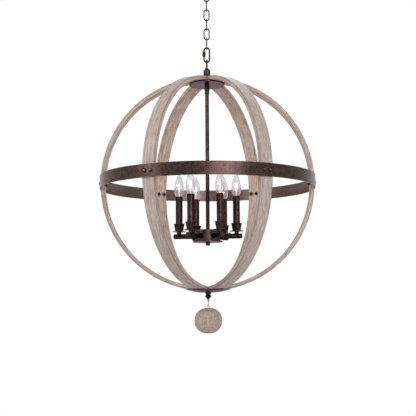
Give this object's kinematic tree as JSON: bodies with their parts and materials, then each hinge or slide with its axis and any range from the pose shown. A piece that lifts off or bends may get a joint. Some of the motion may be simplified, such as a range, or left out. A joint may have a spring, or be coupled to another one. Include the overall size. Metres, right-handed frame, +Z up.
{
  "type": "orb chandelier",
  "caption": "Open wooden orb of bent ribs in a steel band, hung on a chain, with a ring of candle lamps on a centre hub and a wooden ball below.",
  "frame": {"origin": "on the ceiling, at the middle of the crossbar's upper face", "axes": "+Z up; +X along the crossbar and through the first rib; everything hangs below z = 0"},
  "size_m": [0.7188, 0.7112, 1.213],
  "materials": {
    "oak": "weathered grey-brown oak, open grain",
    "dark_bronze": "oil-rubbed bronze, edges rubbed to copper",
    "chain_bronze": "oil-rubbed bronze wire",
    "bolt_bronze": "dark bronze, crowns rubbed to copper",
    "zinc": "zinc-plated steel",
    "socket_black": "moulded black",
    "lamp_brass": "bright brass",
    "lamp_glass": "clear glass",
    "eye_steel": "bright steel wire"
  },
  "bodies": {
    "ceiling": {"canopy": "dark_bronze", "crossbar": "zinc", "crossbar_nut": "zinc", "canopy_nipple": "zinc", "canopy_collar": "dark_bronze", "canopy_loop": "chain_bronze"},
    "link_1": {"chain_link_1": "chain_bronze"},
    "link_2": {"chain_link_2": "chain_bronze"},
    "link_3": {"chain_link_3": "chain_bronze"},
    "link_4": {"chain_link_4": "chain_bronze"},
    "link_5": {"chain_link_5": "chain_bronze"},
    "link_6": {"chain_link_6": "chain_bronze"},
    "quick_link": {"quick_link": "chain_bronze"},
    "quick_nut": {"quick_link_nut": "chain_bronze"},
    "orb": {"bell_loop": "chain_bronze", "bell_cap": "dark_bronze", "cap_washer": "dark_bronze", "top_disc": "dark_bronze", "stem_coupling": "dark_bronze", "stem": "dark_bronze", "band": "dark_bronze", "band_bolts": "bolt_bronze", "band_nuts": "bolt_bronze", "hub": "dark_bronze", "hub_nut": "zinc", "hub_cover": "dark_bronze", "hub_knob": "dark_bronze", "arms": "dark_bronze", "arm_caps": "bolt_bronze", "candle_posts": "dark_bronze", "drip_pans": "dark_bronze", "candle_cups": "dark_bronze", "candle_sleeves": "dark_bronze", "socket_bodies": "socket_black", "socket_shells": "lamp_brass", "socket_contacts": "lamp_brass", "bottom_dish": "dark_bronze", "finial": "dark_bronze", "rib_1": "oak", "rib_2": "oak", "rib_3": "oak", "rib_4": "oak", "rib_5": "oak", "rib_6": "oak"},
    "lamp_1": {"lamp_glass_1": "lamp_glass", "lamp_base_1": "lamp_brass"},
    "lamp_2": {"lamp_glass_2": "lamp_glass", "lamp_base_2": "lamp_brass"},
    "lamp_3": {"lamp_glass_3": "lamp_glass", "lamp_base_3": "lamp_brass"},
    "lamp_4": {"lamp_glass_4": "lamp_glass", "lamp_base_4": "lamp_brass"},
    "lamp_5": {"lamp_glass_5": "lamp_glass", "lamp_base_5": "lamp_brass"},
    "lamp_6": {"lamp_glass_6": "lamp_glass", "lamp_base_6": "lamp_brass"},
    "hook": {"ball_hook": "chain_bronze"},
    "ball": {"ball": "oak", "ball_eye": "eye_steel"}
  },
  "joints": [
    {"name": "link_1_swing", "type": "hinge", "parent": "ceiling", "child": "link_1", "pos_m": [0, 0, -0.0655], "axis": [0, 1, 0], "range_deg": [-12, 12]},
    {"name": "link_2_swing", "type": "hinge", "parent": "link_1", "child": "link_2", "pos_m": [0, 0, -0.09815], "axis": [1, 0, 0], "range_deg": [-12, 12]},
    {"name": "link_3_swing", "type": "hinge", "parent": "link_2", "child": "link_3", "pos_m": [0, 0, -0.1314], "axis": [0, 1, 0], "range_deg": [-12, 12]},
    {"name": "link_4_swing", "type": "hinge", "parent": "link_3", "child": "link_4", "pos_m": [0, 0, -0.16465], "axis": [1, 0, 0], "range_deg": [-12, 12]},
    {"name": "link_5_swing", "type": "hinge", "parent": "link_4", "child": "link_5", "pos_m": [0, 0, -0.1979], "axis": [0, 1, 0], "range_deg": [-12, 12]},
    {"name": "link_6_swing", "type": "hinge", "parent": "link_5", "child": "link_6", "pos_m": [0, 0, -0.23115], "axis": [1, 0, 0], "range_deg": [-12, 12]},
    {"name": "quick_link_swing", "type": "hinge", "parent": "link_6", "child": "quick_link", "pos_m": [0, 0, -0.2644], "axis": [0, 1, 0], "range_deg": [-12, 12]},
    {"name": "quick_nut_travel", "type": "slide", "parent": "quick_link", "child": "quick_nut", "axis": [0, 0, -1], "range_m": [0, 0.0088]},
    {"name": "orb_swing", "type": "hinge", "parent": "quick_link", "child": "orb", "pos_m": [0, 0, -0.3087], "axis": [1, 0, 0], "range_deg": [-12, 12]},
    {"name": "lamp_1_out", "type": "slide", "parent": "orb", "child": "lamp_1", "axis": [0, 0, 1], "range_m": [0, 0.024]},
    {"name": "lamp_2_out", "type": "slide", "parent": "orb", "child": "lamp_2", "axis": [0, 0, 1], "range_m": [0, 0.024]},
    {"name": "lamp_3_out", "type": "slide", "parent": "orb", "child": "lamp_3", "axis": [0, 0, 1], "range_m": [0, 0.024]},
    {"name": "lamp_4_out", "type": "slide", "parent": "orb", "child": "lamp_4", "axis": [0, 0, 1], "range_m": [0, 0.024]},
    {"name": "lamp_5_out", "type": "slide", "parent": "orb", "child": "lamp_5", "axis": [0, 0, 1], "range_m": [0, 0.024]},
    {"name": "lamp_6_out", "type": "slide", "parent": "orb", "child": "lamp_6", "axis": [0, 0, 1], "range_m": [0, 0.024]},
    {"name": "hook_swing", "type": "hinge", "parent": "orb", "child": "hook", "pos_m": [0, 0, -1.10833], "axis": [1, 0, 0], "range_deg": [-20, 20]},
    {"name": "ball_swing", "type": "hinge", "parent": "hook", "child": "ball", "pos_m": [0, 0, -1.12433], "axis": [0, 1, 0], "range_deg": [-30, 30]}
  ]
}
